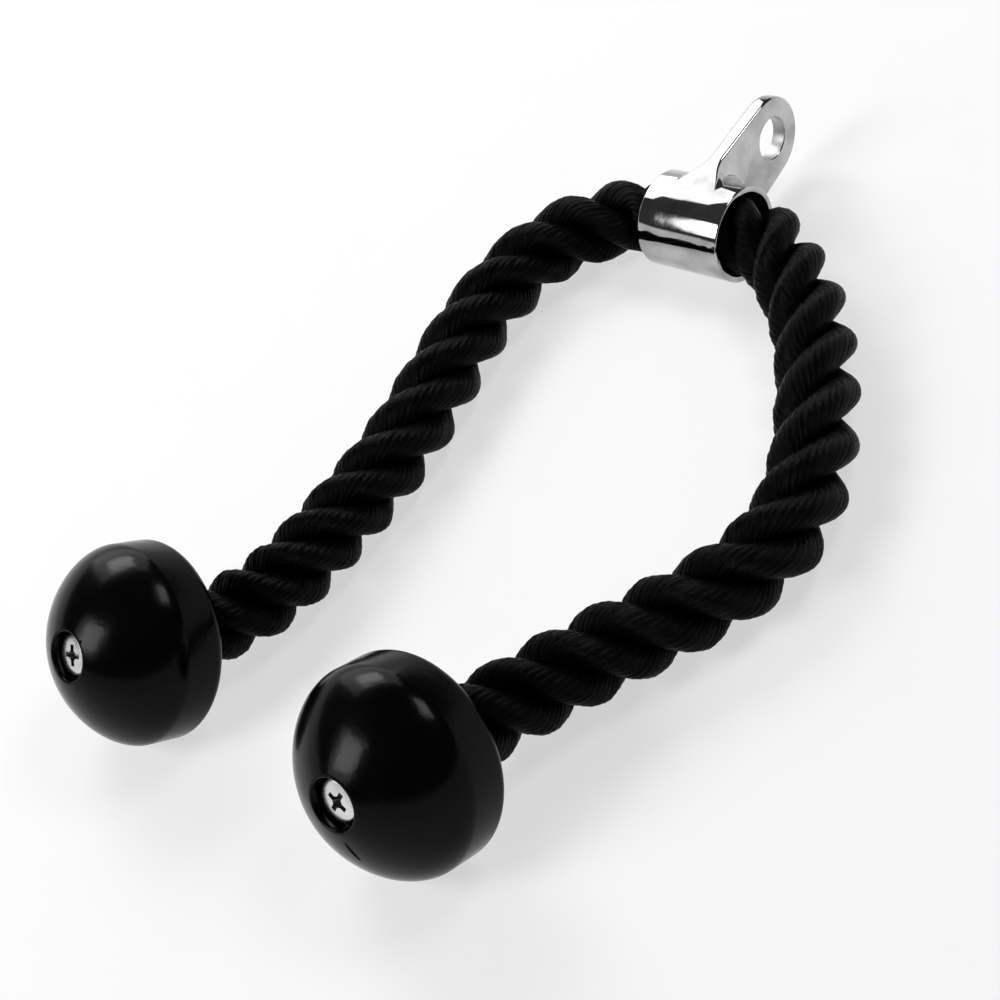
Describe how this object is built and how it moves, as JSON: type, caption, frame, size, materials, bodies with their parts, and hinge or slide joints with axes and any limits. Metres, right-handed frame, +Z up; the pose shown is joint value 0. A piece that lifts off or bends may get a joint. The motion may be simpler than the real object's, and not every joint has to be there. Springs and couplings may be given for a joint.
{
  "type": "triceps rope attachment",
  "caption": "Cable-machine triceps rope: a thick laid rope through a chromed eye bracket, with a domed rubber stop screwed onto each rope end.",
  "frame": {"origin": "centre of the hole of the bracket's eye, midway through the lug", "axes": "+X along the eye's hole and the sleeve's bore, towards the right leg; +Y from the stops towards the eye; +Z up from the surface that the part lies on"},
  "size_m": [0.2124, 0.3257, 0.0639],
  "materials": {
    "chrome": "mirror chrome plate",
    "rope": "black twisted synthetic yarn with a soft sheen",
    "rubber": "smooth semi-gloss moulded rubber",
    "steel": "plain drawn steel",
    "zinc": "bright zinc plate"
  },
  "bodies": {
    "bracket": {"eye_bracket": "chrome"},
    "rope": {"rope_centre": "rope", "rope_bend_left": "rope", "rope_bend_right": "rope"},
    "left_leg": {"rope_leg_left": "rope", "end_stop_left": "rubber", "rope_ferrule_left": "steel", "screw_washer_left": "zinc", "stop_screw_left": "zinc"},
    "right_leg": {"rope_leg_right": "rope", "end_stop_right": "rubber", "rope_ferrule_right": "steel", "screw_washer_right": "zinc", "stop_screw_right": "zinc"}
  },
  "joints": [
    {"name": "rope_turn", "type": "hinge", "parent": "bracket", "child": "rope", "pos_m": [0, -0.043, -0.00505], "axis": [-1, 0, 0], "continuous": true},
    {"name": "left_leg_swing", "type": "hinge", "parent": "rope", "child": "left_leg", "pos_m": [-0.04763, -0.05757, -0.00649], "axis": [0, 0, -1], "range_deg": [-6, 60], "deforming": ["rope_bend_left"]},
    {"name": "right_leg_swing", "type": "hinge", "parent": "rope", "child": "right_leg", "pos_m": [0.04745, -0.05795, -0.00644], "axis": [0, 0, 1], "range_deg": [-6, 85], "deforming": ["rope_bend_right"]}
  ]
}
